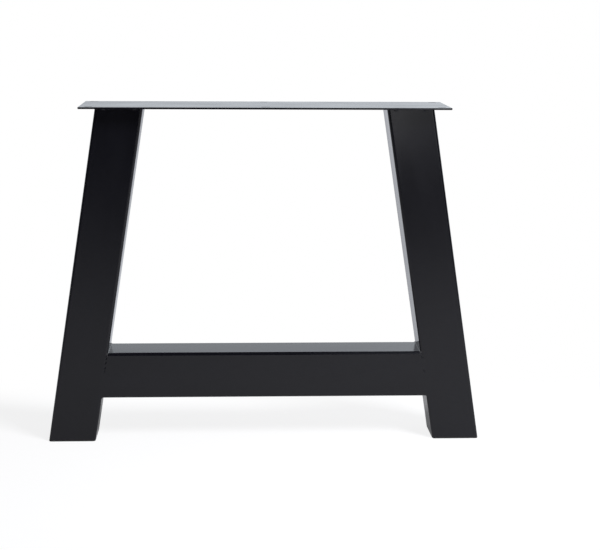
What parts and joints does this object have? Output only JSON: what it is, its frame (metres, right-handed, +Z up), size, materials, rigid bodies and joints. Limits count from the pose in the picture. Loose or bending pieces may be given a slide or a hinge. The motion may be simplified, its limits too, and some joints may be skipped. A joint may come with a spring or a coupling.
{
  "type": "trestle table leg",
  "caption": "Splayed A-frame table leg of square steel tube with a crossbar near the floor and a flat plate on top that screws under a tabletop.",
  "frame": {"origin": "on the floor, under the middle of the leg", "axes": "+X along the leg's width from one foot to the other, +Y through its depth, +Z up to the tabletop"},
  "size_m": [0.9416, 0.19, 0.73],
  "materials": {
    "plate_coat": "satin black powder coat",
    "tube_coat": "satin black powder coat",
    "weld_coat": "satin black powder coat over a weld",
    "cap_plastic": "matt black moulded polyethylene"
  },
  "bodies": {
    "root": {"top_plate": "plate_coat", "left_leg_tube": "tube_coat", "right_leg_tube": "tube_coat", "crossbar_tube": "tube_coat", "left_crossbar_weld": "weld_coat", "right_crossbar_weld": "weld_coat", "left_plate_weld": "weld_coat", "right_plate_weld": "weld_coat", "left_foot_cap": "cap_plastic", "right_foot_cap": "cap_plastic"}
  },
  "joints": []
}
